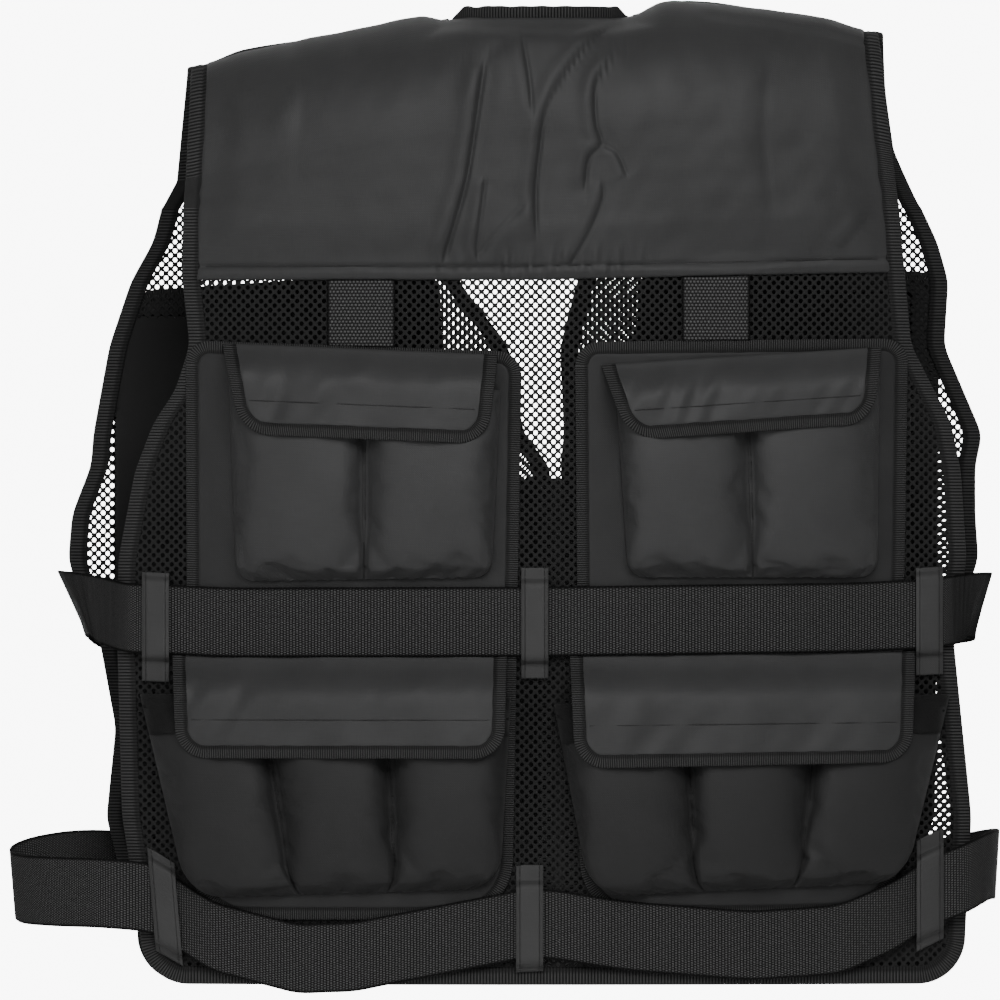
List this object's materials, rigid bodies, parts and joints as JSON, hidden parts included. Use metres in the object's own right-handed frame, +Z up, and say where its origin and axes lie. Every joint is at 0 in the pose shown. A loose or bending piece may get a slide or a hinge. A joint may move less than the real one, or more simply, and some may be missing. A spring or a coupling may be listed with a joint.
{
  "type": "weighted vest",
  "caption": "Weighted training vest with a padded shoulder yoke, open net body, flapped weight pockets on both sides and two webbing belts, held up by its shoulders.",
  "frame": {"origin": "middle of the shoulder line, where the vest rests on the wearer's shoulders", "axes": "+Z up, -Y out of the back of the vest, +Y out of its front, +X to the right of someone who looks at the back"},
  "size_m": [0.6546, 0.2388, 0.6556],
  "materials": {
    "nylon": "satin woven nylon",
    "nylon_dark": "thin satin nylon",
    "net": "matt knitted net",
    "edge_tape": "ribbed tape",
    "webbing": "woven webbing",
    "fastening_strip": "dull looped pile",
    "keeper_cloth": "folded nylon"
  },
  "bodies": {
    "root": {"back_yoke": "nylon", "front_yoke_left": "nylon", "front_yoke_right": "nylon", "back_net": "net", "front_net_left": "net", "front_net_right": "net", "back_edge_tape": "edge_tape", "front_edge_tape_left": "edge_tape", "front_edge_tape_right": "edge_tape", "neck_tape": "edge_tape", "front_closure": "keeper_cloth", "back_tab_left": "webbing", "back_tab_right": "webbing", "back_left_panel": "nylon", "back_left_panel_tape": "edge_tape", "back_right_panel": "nylon", "back_right_panel_tape": "edge_tape", "front_left_panel": "nylon", "front_right_panel": "nylon", "back_left_upper_pocket": "nylon", "back_right_upper_pocket": "nylon", "front_left_upper_pocket": "nylon", "front_right_upper_pocket": "nylon", "back_left_lower_pocket": "nylon_dark", "back_right_lower_pocket": "nylon_dark", "front_left_lower_pocket": "nylon_dark", "front_right_lower_pocket": "nylon_dark", "back_left_upper_flap": "nylon", "back_left_upper_flap_tape": "edge_tape", "back_right_upper_flap": "nylon", "back_right_upper_flap_tape": "edge_tape", "front_left_upper_flap": "nylon", "front_right_upper_flap": "nylon", "back_left_lower_flap": "nylon", "back_left_lower_flap_tape": "edge_tape", "back_right_lower_flap": "nylon", "back_right_lower_flap_tape": "edge_tape", "front_left_lower_flap": "nylon", "front_right_lower_flap": "nylon", "back_left_mouth_strip": "fastening_strip", "back_right_mouth_strip": "fastening_strip", "waist_belt": "webbing", "hem_belt": "webbing", "back_waist_keeper_left": "keeper_cloth", "back_waist_keeper_middle": "keeper_cloth", "back_waist_keeper_right": "keeper_cloth", "back_hem_keeper_left": "keeper_cloth", "back_hem_keeper_middle": "keeper_cloth", "back_hem_keeper_right": "keeper_cloth"}
  },
  "joints": []
}
